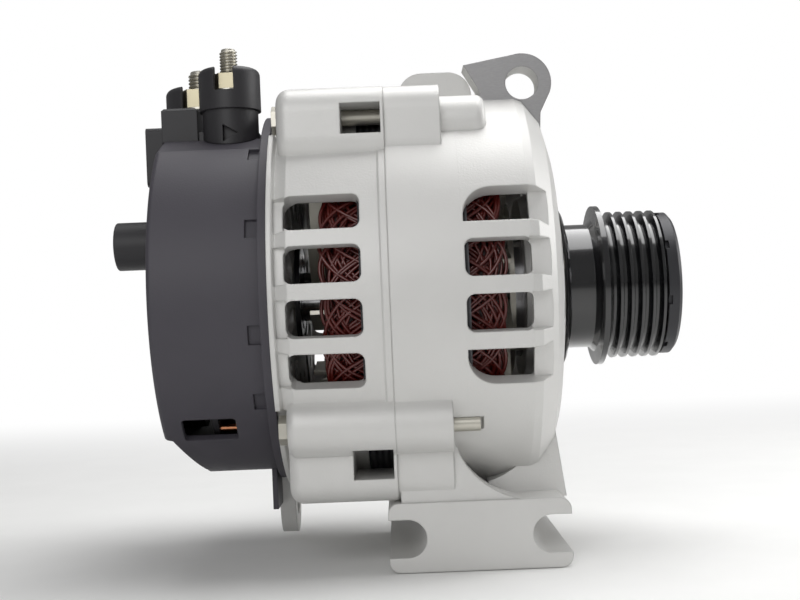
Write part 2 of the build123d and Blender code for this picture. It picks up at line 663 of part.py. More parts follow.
def sink_plate(x_face, inner, outer):
    """Horseshoe plate round the shaft, open at the top for the regulator."""
    plate = tube_x(x_face - sink_thick, x_face, outer, inner)
    opening = block(x_face - 20, x_face + 20, -26, 26, 0, 80)
    return plate - opening


def diode_places(angles, radius):
    return [on_circle(radius, a) for a in angles]


def pierced(plate, x0, x1, places, radius):
    for y, z in places:
        plate = plate - rod_x(x0, x1, radius, y, z)
    return plate


def heat_sink(x_face):
    places = diode_places(diode_angles, 38.0)
    studs = stud_places()
    plate = sink_plate(x_face, sink_in_r, sink_out_r)
    plate = pierced(plate, x_face - 20, x_face + 20, places, diode_r - 1.4)
    plate = pierced(plate, x_face - sink_thick - 1, x_face - sink_thick + 2.0, places, diode_r + seat)
    plate = pierced(plate, x_face - 20, x_face + 20, studs, cover_stud_r + seat)
    bars = diode_places(phase_angles, lead_circle_r)
    return pierced(plate, x_face - 20, x_face + 20, bars, 3.2)


def diodes(x_face):
    pieces = []
    for y, z in diode_places(diode_angles, 38.0):
        x_bottom = x_face - sink_thick + 2.0 - seat
        body = rod_x(x_bottom - 3.6, x_bottom, diode_r, y, z)
        body = fillet(body.edges().sort_by(Axis.X)[0], 1.0)
        pieces.append(body + rod_x(x_bottom - 5.0, x_bottom - 3.0, 0.8, y, z))
    return pieces


def far_heat_sink():
    """Positive plate, with the bar that reaches up to the output stud."""
    plate = heat_sink(rectifier_far_x)
    riser = block(rectifier_far_x - sink_thick, rectifier_far_x, 26, 29, 20, busbar_z + 2.2)
    bar = block(-70.5, rectifier_far_x, 2.5, 29, busbar_z, busbar_z + 2.2)
    return plate + riser + bar - rod_z(stud_main_x, stud_main_y, 30, 60, stud_main_r + seat)


def rectifier_carrier():
    plate = sink_plate(carrier_x, sink_in_r, lead_circle_r + 1.6)
    plate = plate & rod_x(carrier_x - carrier_thick, carrier_x, 80)
    x0 = carrier_x - carrier_thick
    tab = block(x0, carrier_x, -29, -14, busbar_z - 0.8, busbar_z + 1.2) + block(x0, carrier_x, -29, -26, 20, 45)
    arm = block(x0, -46, -24.5, -14, busbar_z - 0.8, busbar_z + 1.2)
    plate = plate + tab + arm
    plate = pierced(plate, x0 - 1, carrier_x + 1, stud_places(),
                    cover_stud_r + seat)
    plate = plate - block(x0 - 1, carrier_x + 1, 24, 40, busbar_z - 0.8, 60)
    return plate - rod_z(stud_side_x, stud_side_y, 30, 60, stud_side_r + seat)


def phase_leads():
    places = diode_places(phase_angles, lead_circle_r)
    return [rod_x(carrier_x + seat, crown_rear_x - seat, lead_r, y, z) for y, z in places]


def stud_spacers():
    spans = (
        (rectifier_far_x + seat, rectifier_near_x - sink_thick - seat),
        (carrier_x + seat, rectifier_far_x - sink_thick - seat),
        (cover_end_x + nut_pocket + 1.8 + seat, carrier_x - carrier_thick - seat))
    pieces = []
    for y, z in stud_places():
        for x0, x1 in spans:
            pieces.append(tube_x(x0, x1, 4.6, cover_stud_r + seat, y, z))
    return pieces


def cover_studs():
    return [rod_x(cover_end_x + 0.4, rear_wall_x + rear_wall - 0.4, cover_stud_r, y, z)
            for y, z in stud_places()]


def cover_nuts():
    pieces = []
    seat_x = cover_end_x + nut_pocket - slip
    for y, z in stud_places():
        nut = rod_x(seat_x - 1, seat_x, 5.4, y, z) + hexagon_rod_x(seat_x - 4.9, seat_x - 1, y, z, 8.0)
        pieces.append(nut - rod_x(seat_x - 8, seat_x + 1, cover_stud_r + seat, y, z))
    return pieces


def brush_holder():
    solid = block(holder_rear_x, holder_front_x, -holder_half, holder_half, holder_bottom, holder_top)
    solid = fillet(solid.edges().filter_by(Axis.Z), 1.2)
    for x in (ring_front_x, ring_rear_x):
        solid = solid - block(
            x - brush_x / 2 - brush_play, x + brush_x / 2 + brush_play,
            -brush_y / 2 - brush_play, brush_y / 2 + brush_play, 0, holder_top - 1.5)
    return solid


def brush(x):
    solid = block(x - brush_x / 2, x + brush_x / 2, -brush_y / 2, brush_y / 2, 5, ring_r + brush_length)
    return solid - rod_x(-80, 0, ring_r + slip)


def brush_spring(x):
    """Coil spring between a brush and the closed end of its guide."""
    bottom = ring_r + brush_length + 0.4
    top = holder_top - 1.5 - 0.4
    wire_r = 0.25
    coil_r = brush_x / 2 - 0.5
    path = Helix(pitch=(top - bottom) / 5, height=top - bottom, radius=coil_r)
    start = path @ 0
    section = Plane(start, z_dir=path % 0) * Circle(wire_r)
    return Pos(x, 0, bottom) * sweep(section, path=path)


def regulator_body():
    solid = block(holder_rear_x - 1.5, holder_front_x, -regulator_half, regulator_half,
                  holder_top + seat, regulator_top)
    solid = fillet(solid.edges().filter_by(Axis.Z), 2.5)
    for k in range(5):
        y = (k - 2) * 4.6
        solid = solid - block(holder_rear_x - 5, holder_front_x + 5, y - 1.2, y + 1.2, regulator_top - 2.4, 60)
    for side in (-1, 1):
        solid = solid - rod_x(-80, -30, regulator_screw_r + seat, side * regulator_screw_y, regulator_screw_z)
    return solid


def regulator_screws():
    pieces = []
    for side in (-1, 1):
        y = side * regulator_screw_y
        shank = rod_x(holder_rear_x - 1.6, -37.4, regulator_screw_r, y, regulator_screw_z)
        head = rod_x(holder_rear_x - 4.0, holder_rear_x - 1.5 - slip, 3.6, y, regulator_screw_z)
        pieces.append(shank + head)
    return pieces


def plug_socket():
    shell = rod_x(plug_x, holder_rear_x - seat, plug_r, 0, plug_z)
    hollow = rod_x(plug_x - 1, cover_end_x + 1.5, plug_r - plug_wall, 0, plug_z)
    shell = fillet(shell.edges().sort_by(Axis.X)[0], 0.6) - hollow
    return pierced(shell, -80, -60, [(-2.6, plug_z), (2.6, plug_z)], 0.9)


def plug_pins():
    return [rod_x(plug_x + 6, holder_rear_x - 1.0, 0.85, y, plug_z) for y in (-2.6, 2.6)]


def terminal_stud(x, y, radius, top, head_top, across_flats):
    shank = rod_z(x, y, head_top, top, radius)
    shank = chamfer(shank.edges().sort_by(Axis.Z)[-1], 0.7)
    return shank + hexagon_rod_z(x, y, head_top - 2.2, head_top, across_flats)


def terminal_nut(x, y, radius, bottom, height, across_flats):
    return hexagon_rod_z(x, y, bottom, bottom + height, across_flats) - rod_z(x, y, 0, 100, radius + seat)


def terminal_washer(x, y, radius, bottom, height, outer):
    return rod_z(x, y, bottom, bottom + height, outer) - rod_z(x, y, 0, 100, radius + seat)


# ---- drive end bearing seat ----
def bearing_retainer():
    plate = tube_x(bearing_front_x - gap - 2.0, bearing_front_x - gap - seat, 29.6, 13.5)
    places = [on_circle(27.0, a) for a in range(45, 405, 90)]
    return pierced(plate, 30, 45, places, 2.9)


def retainer_screws():
    pieces = []
    for angle in range(45, 405, 90):
        y, z = on_circle(27.0, angle)
        head = rod_x(bearing_front_x - gap - 2.0, bearing_front_x - gap - 0.2, 2.8, y, z)
        pieces.append(head + rod_x(bearing_front_x - gap - 0.3, 48, 1.95, y, z))
    return pieces


def main():
    os.makedirs("parts", exist_ok=True)
    write("drive_end_frame", drive_end_frame())
    write("rear_end_frame", rear_end_frame())
    write("through_bolts", *[through_bolt(y, z) for y, z in through_bolts])
    write("stator_core", stator_core())
    write("stator_winding", stator_winding())
    write("phase_leads", *phase_leads())

    outer, inner, balls, shields = bearing(bearing_front_x, bearing_front_width, bearing_front_r - slip,
                                           shaft_r + slip, 3.9, 8)
    write("front_bearing_outer_ring", outer)
    write("front_bearing_inner_ring", inner)
    write("front_bearing_balls", *balls)
    write("front_bearing_shields", *shields)
    write("bearing_retainer", bearing_retainer())
    write("retainer_screws", *retainer_screws())
    outer, inner, balls, shields = bearing(bearing_rear_x, bearing_rear_width, bearing_rear_r - slip,
                                           shaft_rear_r + slip, 2.9, 8)
    write("rear_bearing_outer_ring", outer)
    write("rear_bearing_inner_ring", inner)
    write("rear_bearing_balls", *balls)
    write("rear_bearing_shields", *shields)
    write("rear_bearing_sleeve", tube_x(bearing_rear_x, bearing_rear_x + bearing_rear_width,
                                        bearing_rear_r + sleeve_wall, bearing_rear_r))

    write("rotor_shaft", rotor_shaft())
    write("claw_pole_front", claw_pole(1))
    write("claw_pole_rear", claw_pole(-1))
    write("coil_bobbin", coil_bobbin())
    write("field_coil", field_coil())
    write("front_fan", cooling_fan(pole_front_x, 1, fan_blade, fan_blades_front))
    write("rear_fan", cooling_fan(pole_rear_x, -1, fan_rear_blade, fan_blades_rear))
    write("slip_ring_carrier", slip_ring_carrier())
    write("slip_rings", slip_ring(ring_front_x), slip_ring(ring_rear_x))

    spacer_x = bearing_front_x + bearing_front_width
    write("shaft_spacer", tube_x(spacer_x, spacer_x + 2.4, 11.5, shaft_nose_r + slip))
    write("slinger_disc", turned([
        (spacer_x + 2.4, shaft_nose_r + slip), (spacer_x + 2.4, flange_r - 1), (spacer_x + 3.0, flange_r),
        (spacer_x + 3.8, flange_r - 1.5), (spacer_x + 4.6, drum_r), (spacer_x + 4.6, shaft_nose_r + slip)]))
    write("pulley_hub", pulley_hub())
    write("clutch_rollers", *clutch_rollers())
    write("pulley_bushes", *pulley_bushes())
    write("pulley_ring", pulley_ring())
    write("pulley_cap", pulley_cap())

    write("rear_cover", rear_cover())
    write("cover_studs", *cover_studs())
    write("cover_nuts", *cover_nuts())
    write("stud_spacers", *stud_spacers())
    write("negative_heat_sink", heat_sink(rectifier_near_x))
    write("positive_heat_sink", far_heat_sink())
    write("negative_diodes", *diodes(rectifier_near_x))
    write("positive_diodes", *diodes(rectifier_far_x))
    write("rectifier_carrier", rectifier_carrier())
    write("regulator_body", regulator_body())
    write("regulator_screws", *regulator_screws())
    write("brush_holder", brush_holder())
    write("front_brush", brush(ring_front_x))
    write("rear_brush", brush(ring_rear_x))
    write("front_brush_spring", brush_spring(ring_front_x))
    write("rear_brush_spring", brush_spring(ring_rear_x))
    write("plug_socket", plug_socket())
    write("plug_pins", *plug_pins())

    write("terminal_housing", terminal_housing())
    write("output_stud", terminal_stud(stud_main_x, stud_main_y, stud_main_r, stud_main_top, busbar_z, 10.0))
    write("output_washer", terminal_washer(stud_main_x, stud_main_y, stud_main_r, 66.4, 1.5, 7.8))
    write("output_nut", terminal_nut(stud_main_x, stud_main_y, stud_main_r, 67.9, 6.5, 13.0))
    write("side_stud", terminal_stud(stud_side_x, stud_side_y, stud_side_r, stud_side_top, busbar_z - 0.8, 9.5))
    write("side_washer", terminal_washer(stud_side_x, stud_side_y, stud_side_r, 68.0, 1.2, 6.1))
    write("side_nut", terminal_nut(stud_side_x, stud_side_y, stud_side_r, 69.2, 5.2, 10.0))


main()
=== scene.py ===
import bpy
import math
import random
from mathutils import Matrix, Vector


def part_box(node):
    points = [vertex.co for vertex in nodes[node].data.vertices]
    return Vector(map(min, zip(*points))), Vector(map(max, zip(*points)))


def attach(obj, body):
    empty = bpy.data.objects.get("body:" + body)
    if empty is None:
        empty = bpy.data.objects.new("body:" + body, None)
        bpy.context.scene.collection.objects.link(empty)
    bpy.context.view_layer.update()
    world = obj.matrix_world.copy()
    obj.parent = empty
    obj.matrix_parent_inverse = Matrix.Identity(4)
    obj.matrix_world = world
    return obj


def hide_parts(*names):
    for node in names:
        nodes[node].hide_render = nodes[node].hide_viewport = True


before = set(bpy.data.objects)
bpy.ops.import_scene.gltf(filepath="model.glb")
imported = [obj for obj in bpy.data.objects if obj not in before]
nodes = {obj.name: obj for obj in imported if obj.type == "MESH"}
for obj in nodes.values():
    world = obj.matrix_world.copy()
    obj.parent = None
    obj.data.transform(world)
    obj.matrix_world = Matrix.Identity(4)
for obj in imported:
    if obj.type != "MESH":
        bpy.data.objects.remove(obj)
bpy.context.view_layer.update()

mm = 0.001
random.seed(7)

# places that the pieces share, all read from the frame
pulleyLow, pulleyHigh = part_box("pulley_ring")
shaftZ = (pulleyLow.z + pulleyHigh.z) / 2
coreLow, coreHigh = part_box("stator_core")
windLow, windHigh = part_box("stator_winding")
windingR = (windHigh.y - windLow.y) / 2
lugFaceY = -25 * mm  # machined near side of the lug
footFaceY = -50 * mm  # machined near side of the foot
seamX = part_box("rear_end_frame")[1].x
print("frame loaded:", len(nodes), "nodes")


# an output socket that takes part in sums, so that node trees read like arithmetic
class Wire:
    def __init__(self, shader, socket):
        self.shader = shader
        self.socket = socket

    def maths(self, kind, other, flip=False):
        a, b = (other, self) if flip else (self, other)
        return self.shader.node("ShaderNodeMath", {"operation": kind}, {0: a, 1: b})

    def __add__(self, other):
        return self.maths("ADD", other)

    __radd__ = __add__

    def __mul__(self, other):
        return self.maths("MULTIPLY", other)

    __rmul__ = __mul__

    def __sub__(self, other):
        return self.maths("SUBTRACT", other)

    def __rsub__(self, other):
        return self.maths("SUBTRACT", other, True)

    def over(self, limit):
        return self.maths("GREATER_THAN", limit)

    def under(self, limit):
        return self.maths("LESS_THAN", limit)


# a material and the short calls that wire it
class Shader:
    def __init__(self, name):
        self.material = bpy.data.materials.new(name)
        self.material.use_nodes = True
        self.tree = self.material.node_tree
        self.bsdf = self.tree.nodes["Principled BSDF"]

    def node(self, kind, settings, inputs, out=0):
        made = self.tree.nodes.new(kind)
        for key, value in settings.items():
            if key == "stops":
                ramp = made.color_ramp
                while len(ramp.elements) < len(value):
                    ramp.elements.new(0.5)
                for element, (place, colour) in zip(ramp.elements, value):
                    element.position = place
                    element.color = (*colour, 1)
            else:
                setattr(made, key, value)
        for key, value in inputs.items():
            if isinstance(value, Wire):
                self.tree.links.new(value.socket, made.inputs[key])
            else:
                made.inputs[key].default_value = value
        return Wire(self, made.outputs[out])

    def place(self):
        return self.node("ShaderNodeTexCoord", {}, {}, "Object")

    def axes(self, place):
        split = self.node("ShaderNodeSeparateXYZ", {}, {0: place}).socket.node
        return [Wire(self, split.outputs[k]) for k in range(3)]

    def noise(self, place, scale, detail=3.0, rough=0.55):
        return self.node("ShaderNodeTexNoise", {}, {"Vector": place, "Scale": scale, "Detail": detail,
                                                    "Roughness": rough})

    def mix(self, factor, low, high):
        made = self.tree.nodes.new("ShaderNodeMix")
        made.data_type = "RGBA"
        for index, value in ((0, factor), (6, low), (7, high)):
            if isinstance(value, Wire):
                self.tree.links.new(value.socket, made.inputs[index])
            else:
                made.inputs[index].default_value = value if index == 0 else (*value, 1)
        return Wire(self, made.outputs[2])

    def bump(self, height, strength, distance, normal=None):
        inputs = {"Height": height, "Strength": strength, "Distance": distance}
        if normal:
            inputs["Normal"] = normal
        return self.node("ShaderNodeBump", {}, inputs)

    def rounded(self, radius):
        return self.node("ShaderNodeBevel", {"samples": 4}, {"Radius": radius})

    def set(self, name, value):
        if isinstance(value, Wire):
            self.tree.links.new(value.socket, self.bsdf.inputs[name])
        else:
            self.bsdf.inputs[name].default_value = value


def shade(value, by):
    return tuple(max(0.0, min(1.0, c * by)) for c in value)


def finishBasic(name, spec):
    s = Shader(name)
    place = s.place()
    cloud = s.noise(place, cloudScale, 4)
    grain = s.noise(place, spec["grainScale"], 2)
    colour = s.mix(cloud, shade(spec["colour"], 1 - spec["vary"]), shade(spec["colour"], 1 + spec["vary"]))
    rough = cloud * spec["roughVary"] + (spec["rough"] - spec["roughVary"] / 2)
    edge = s.rounded(spec["edge"] * mm)
    height = grain
    if spec.get("turned"):  # fine rings left by the lathe
        rings = s.node("ShaderNodeTexWave", {"bands_direction": "X"}, {
            "Vector": place, "Scale": spec["turned"], "Distortion": 1.5, "Detail": 1.0})
        height = grain * 0.5 + rings * 0.5
    s.set("Base Color", colour)
    s.set("Roughness", rough)
    s.set("Metallic", spec["metallic"])
    s.set("Normal", s.bump(height, spec["bump"], spec["depth"] * mm, edge))
    if spec.get("coat"):
        s.set("Coat Weight", spec["coat"])
        s.set("Coat Roughness", spec["coatRough"])
    return s.material


# depth of the grain and radius of the softened edge are in millimetres
cloudScale = 60
finishSpecs = {
    "castGrey": dict(colour=(0.66, 0.655, 0.64), vary=0.06, metallic=0.35, rough=0.5, roughVary=0.16,
                     grainScale=1500, bump=0.55, depth=0.12, edge=0.7),
    "coverPlastic": dict(colour=(0.05, 0.046, 0.058), vary=0.12, metallic=0.0, rough=0.52, roughVary=0.1,
                         grainScale=1800, bump=0.4, depth=0.08, edge=0.6),
    "blackPlastic": dict(colour=(0.022, 0.021, 0.024), vary=0.2, metallic=0.0, rough=0.5, roughVary=0.14,
                         grainScale=1300, bump=0.35, depth=0.07, edge=0.5),
    "glossBlack": dict(colour=(0.006, 0.006, 0.007), vary=0.2, metallic=0.0, rough=0.22, roughVary=0.08,
                       grainScale=700, bump=0.06, depth=0.05, edge=0.25, coat=0.9, coatRough=0.06),
    "capBlack": dict(colour=(0.03, 0.03, 0.034), vary=0.2, metallic=0.3, rough=0.42, roughVary=0.12,
                     grainScale=1500, bump=0.25, depth=0.05, edge=0.3),
    "zincSteel": dict(colour=(0.55, 0.53, 0.47), vary=0.14, metallic=0.9, rough=0.34, roughVary=0.16,
                      grainScale=900, bump=0.2, depth=0.05, edge=0.2),
    "yellowZinc": dict(colour=(0.42, 0.38, 0.27), vary=0.16, metallic=0.9, rough=0.36, roughVary=0.16,
                       grainScale=900, bump=0.2, depth=0.05, edge=0.25),
    "groundSteel": dict(colour=(0.6, 0.6, 0.62), vary=0.06, metallic=1.0, rough=0.2, roughVary=0.1,
                        grainScale=700, bump=0.12, depth=0.03, edge=0.2, turned=180),
    "poleSteel": dict(colour=(0.16, 0.155, 0.15), vary=0.3, metallic=0.8, rough=0.5, roughVary=0.2,
                      grainScale=600, bump=0.4, depth=0.1, edge=0.4),
    "enamel": dict(colour=(0.1, 0.009, 0.006), vary=0.35, metallic=0.15, rough=0.34, roughVary=0.14,
                   grainScale=500, bump=0.15, depth=0.05, edge=0.1, coat=0.6, coatRough=0.16),
    # the wire enamel darkened for the overhang body behind the wires, as painted shade
    "enamelPaintedShade": dict(colour=(0.02, 0.003, 0.003), vary=0.4, metallic=0.0, rough=0.5, roughVary=0.2,
                       grainScale=400, bump=0.9, depth=0.5, edge=0.3),
    "copperTurned": dict(colour=(0.62, 0.27, 0.14), vary=0.12, metallic=1.0, rough=0.3, roughVary=0.14,
                         grainScale=800, bump=0.15, depth=0.04, edge=0.2, turned=200),
    "carbon": dict(colour=(0.02, 0.02, 0.021), vary=0.3, metallic=0.1, rough=0.6, roughVary=0.16,
                   grainScale=1400, bump=0.4, depth=0.08, edge=0.2),
}
finishes = {name: finishBasic(name, spec) for name, spec in finishSpecs.items()}


coreSpec = {"dark": (0.02, 0.02, 0.022), "light": (0.13, 0.13, 0.14), "sheetScale": 160.0, "cloudScale": 90,
            "sheetShare": 0.6, "metallic": 0.5, "rough": 0.35, "roughVary": 0.2, "bump": 0.7, "depth": 0.3}


# stacked sheets seen edge on
def finishLaminated():
    s = Shader("laminatedCore")
    place = s.place()
    sheets = s.node("ShaderNodeTexWave", {"bands_direction": "X"}, {
        "Vector": place, "Scale": coreSpec["sheetScale"], "Distortion": 0.4, "Detail": 1.0})
    cloud = s.noise(place, coreSpec["cloudScale"], 4)
    share = coreSpec["sheetShare"]
    s.set("Base Color", s.mix(sheets * share + cloud * (1 - share), coreSpec["dark"], coreSpec["light"]))
    s.set("Metallic", coreSpec["metallic"])
    s.set("Roughness", cloud * coreSpec["roughVary"] + coreSpec["rough"])
    s.set("Normal", s.bump(sheets, coreSpec["bump"], coreSpec["depth"] * mm))
    return s.material


# lengths in millimetres; the lug's cut face lies between y - lugBehind and y + lugFront; the two lug tones
# are the machining streaks on that face, both set far darker than the cast grey as painted shade
machinedSpec = {"lugFront": 0.15, "lugBehind": 0.4, "lugUp": 50, "footDeep": 0.3, "footTop": 22,
                "turnedReach": 22, "turnedLow": 25, "strokeScale": 900, "vary": 0.05,
                "lugShadeDark": (0.30, 0.295, 0.30), "lugShadeLight": (0.40, 0.395, 0.40),
                "rough": 0.44, "roughVary": 0.14, "cutSmoother": 0.1, "bump": 0.5, "depth": 0.12, "edge": 0.7}


# the cast frame with its cut lug and foot faces and its turned seat by the seam; the lug's cut face is
# coloured darker than the cast as painted shade
def finishDriveEnd():
    cut = machinedSpec
    spec = finishSpecs["castGrey"]
    s = Shader("castMachined")
    place = s.place()
    x, y, z = s.axes(place)
    cloud = s.noise(place, cloudScale, 4)
    grain = s.noise(place, spec["grainScale"], 2)
    stretched = s.node("ShaderNodeMapping", {}, {"Vector": place, "Scale": (1.0, 1.0, 6.0)})
    strokes = s.noise(stretched, cut["strokeScale"], 2)
    inLugFace = y.under(lugFaceY + cut["lugFront"] * mm) * y.over(lugFaceY - cut["lugBehind"] * mm)
    # the lug's near face: really machined (smoother, streaked) and also painted darker as painted shade
    lugCutShaded = inLugFace * z.over(shaftZ + cut["lugUp"] * mm)
    footCut = y.under(footFaceY + cut["footDeep"] * mm) * z.under(cut["footTop"] * mm)
    turned = x.under(seamX + cut["turnedReach"] * mm) * z.over(cut["turnedLow"] * mm)
    machined = s.node("ShaderNodeMath", {"operation": "MAXIMUM"}, {0: lugCutShaded, 1: footCut})
    castTone = s.mix(cloud, shade(spec["colour"], 1 - cut["vary"]), shade(spec["colour"], 1 + cut["vary"]))
    # streaked machining tone of the lug face, darkened as painted shade
    lugShadedTone = s.mix(strokes, cut["lugShadeDark"], cut["lugShadeLight"])
    s.set("Base Color", s.mix(lugCutShaded, castTone, lugShadedTone))
    s.set("Roughness", cloud * cut["roughVary"] + cut["rough"] - machined * cut["cutSmoother"])
    s.set("Metallic", spec["metallic"])
    fine = grain * (1 - machined * 0.8) * (1 - turned * 0.55) + strokes * machined * 0.3
    s.set("Normal", s.bump(fine, cut["bump"], cut["depth"] * mm, s.rounded(cut["edge"] * mm)))
    return s.material


finishes["laminatedCore"] = finishLaminated()
finishes["castMachined"] = finishDriveEnd()

finishOf = {
    "castMachined": ["drive_end_frame"],
    "castGrey": ["rear_end_frame", "negative_heat_sink", "positive_heat_sink"],
    "coverPlastic": ["rear_cover"],
    "blackPlastic": ["terminal_housing", "plug_socket", "brush_holder", "coil_bobbin", "slip_ring_carrier",
                     "stud_spacers", "rectifier_carrier", "regulator_body", "rear_bearing_sleeve"],
    "glossBlack": ["pulley_ring", "slinger_disc"],
    "capBlack": ["pulley_cap"],
    "zincSteel": ["through_bolts", "retainer_screws", "bearing_retainer", "front_fan", "rear_fan",
                  "cover_studs", "cover_nuts", "regulator_screws", "output_washer", "side_washer",
                  "shaft_spacer", "front_brush_spring", "rear_brush_spring", "output_stud", "side_stud"],
    "yellowZinc": ["output_nut", "side_nut"],
    "groundSteel": ["rotor_shaft", "front_bearing_outer_ring", "front_bearing_inner_ring",
                    "front_bearing_balls", "front_bearing_shields", "rear_bearing_outer_ring",
                    "rear_bearing_inner_ring", "rear_bearing_balls", "rear_bearing_shields", "pulley_hub",
                    "clutch_rollers", "pulley_bushes"],
    "laminatedCore": ["stator_core"],
    "poleSteel": ["claw_pole_front", "claw_pole_rear"],
    "enamel": ["field_coil"],
    "copperTurned": ["phase_leads", "slip_rings", "plug_pins", "negative_diodes", "positive_diodes"],
    "carbon": ["front_brush", "rear_brush"],
}
for finishName, members in finishOf.items():
    for nodeName in members:
        slots = nodes[nodeName].data.materials
        slots.clear()
        slots.append(finishes[finishName])
print("finishes on the CAD nodes")


def deselect():
    bpy.ops.object.select_all(action="DESELECT")


def pick(*objects):
    deselect()
    for obj in objects:
        obj.select_set(True)
    bpy.context.view_layer.objects.active = objects[0]


# freezes a finished piece and tells the frame which body carries it and what it stands in for
def settle(obj, name, finish, body, slot, *stands):
    pick(obj)
    bpy.ops.object.transform_apply(location=True, rotation=True, scale=True)
    obj.name = name
    obj.data.materials.clear()
    obj.data.materials.append(finishes[finish])
    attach(obj, body)
    if stands:
        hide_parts(*stands)
    print("made", name)


def joinAll(objects):
    pick(*objects)
    bpy.ops.object.join()
    return bpy.context.object


def bevelEdges(obj, width, segments=2):
    edge = obj.modifiers.new("edge", "BEVEL")
    edge.width = width
    edge.segments = segments
    bpy.ops.object.modifier_apply(modifier="edge")


# copper overhangs: each strand leaves one slot, bows outward and enters another;
# lengths in millimetres, reach and wobble in degrees
wireSpec = {"radius": 0.62, "slots": 36, "strands": 4, "reach": 30.0, "reachLess": 2.0, "steps": 9,
            "clear": 0.05, "endGap": 1.2, "inset": 2.1, "layer": 1.7, "layerEach": 0.35, "sunk": 1.0,
            "startEach": 1.3, "lift": 0.5, "wobble": 2.2, "squeeze": 0.86}
wireRadius = wireSpec["radius"] * mm


def wirePoints(coreX, endX, startAngle, reach, radius, lift):
    points = []
    steps = wireSpec["steps"]
    for k in range(steps + 1):
        t = k / steps
        angle = math.radians(startAngle + reach * t)
        along = math.sin(math.pi * t) ** 0.7
        r = radius - lift * math.sin(math.pi * t)
        x = coreX + (endX - coreX) * along
        points.append(Vector((x, r * math.sin(angle), shaftZ + r * math.cos(angle))))
    return points


def oneWire(points):
    deselect()
    bpy.ops.curve.primitive_nurbs_path_add()
    path = bpy.context.object
    path.data.splines.clear()
    spline = path.data.splines.new("NURBS")
    spline.points.add(len(points) - 1)
    for point, place in zip(spline.points, points):
        point.co = (*place, 1)
    spline.order_u = 3
    spline.use_endpoint_u = True
    path.data.bevel_depth = wireRadius
    path.data.bevel_resolution = 1
    path.data.resolution_u = 2
    return path


def makeWires(side):
    spec = wireSpec
    coreX = coreLow.x if side < 0 else coreHigh.x
    endX = windLow.x if side < 0 else windHigh.x
    pieces = []
    turn = 360 / spec["slots"]
    outerR = windingR - wireRadius - spec["clear"] * mm
    centre = Vector((0, 0, shaftZ))
    for strand in range(spec["strands"]):
        back = side * (spec["endGap"] + strand * spec["inset"]) * mm
        for lean in (1, -1):
            reach = lean * (spec["reach"] - strand * spec["reachLess"] + random.uniform(-1, 1))
            radius = outerR - (0 if lean > 0 else spec["layer"] * mm) - strand * spec["layerEach"] * mm
            points = wirePoints(coreX - side * spec["sunk"] * mm, endX - back, strand * spec["startEach"],
                                reach, radius, spec["lift"] * mm)
            first = oneWire(points)
            bpy.ops.object.convert(target="MESH")
            first = bpy.context.object
            first.data.transform(first.matrix_world)
            first.matrix_world = Matrix.Identity(4)
            for k in range(spec["slots"]):
                copied = first.copy()
                copied.data = first.data.copy()
                wobble = random.uniform(-spec["wobble"], spec["wobble"])
                squeeze = random.uniform(spec["squeeze"], 1.0)
                about = Matrix.Translation(centre) @ Matrix.Rotation(math.radians(k * turn + wobble), 4, "X")
                about = about @ Matrix.Translation(-centre)
                pull = Matrix.Translation((coreX, 0, 0)) @ Matrix.Diagonal((squeeze, 1, 1, 1))
                copied.data.transform(about @ pull @ Matrix.Translation((-coreX, 0, 0)))
                bpy.context.collection.objects.link(copied)
                pieces.append(copied)
            bpy.data.objects.remove(first)
    wires = joinAll(pieces)
    bpy.ops.object.shade_smooth()
    name = "winding_wires_front" if side > 0 else "winding_wires_rear"
    settle(wires, name, "enamel", "housing", "copper_enamel", "stator_winding")


# the body of the overhang behind the wires that show, in a near-black copy of the wire enamel as painted
# shade; lengths in millimetres
packSpec = {"coreGap": 0.3, "short": 3.0, "inset": 6.4, "thick": 3.4, "lumpSize": 4.0, "lumpHeight": 1.2}


def makeWindingPack(side):
    spec = packSpec
    thick = spec["thick"] * mm
    coreX = coreLow.x - spec["coreGap"] * mm if side < 0 else coreHigh.x + spec["coreGap"] * mm
    endX = windLow.x if side < 0 else windHigh.x
    depth = abs(endX - coreX) - spec["short"] * mm
    deselect()
    bpy.ops.mesh.primitive_torus_add(
        major_segments=144, minor_segments=20, major_radius=windingR - spec["inset"] * mm, minor_radius=thick,
        location=(coreX + side * depth / 2, 0, shaftZ), rotation=(0, math.pi / 2, 0))
    ring = bpy.context.object
    ring.scale = (1, 1, depth / (2 * thick))
    bpy.ops.object.transform_apply(location=True, rotation=True, scale=True)
    pick(ring)
    texture = bpy.data.textures.new("packLumps" + str(side), "CLOUDS")
    texture.noise_scale = spec["lumpSize"] * mm
    lumps = ring.modifiers.new("lumps", "DISPLACE")
    lumps.texture = texture
    lumps.strength = spec["lumpHeight"] * mm
    bpy.ops.object.modifier_apply(modifier="lumps")
    bpy.ops.object.shade_smooth()
    name = "winding_pack_front" if side > 0 else "winding_pack_rear"
    settle(ring, name, "enamelPaintedShade", "housing", "copper_enamel", "stator_winding")


for crownSide in (-1, 1):
    makeWires(crownSide)
    makeWindingPack(crownSide)


# studs with real threads, in millimetres
studSpecs = {
    "output_stud": {"pitch": 1.25, "radius": 3.95, "rodBevel": 0.5, "headDeep": 2.2, "headBevel": 0.3},
    "side_stud": {"pitch": 1.0, "radius": 2.95, "rodBevel": 0.5, "headDeep": 2.2, "headBevel": 0.3},
}
threadSpec = {"depthShare": 0.6, "crestFrom": 0.42, "crestTo": 0.58, "bare": 4.0, "topGap": 0.5, "steps": 32,
              "merge": 0.01, "coreOver": 0.05, "smoothAngle": 35}


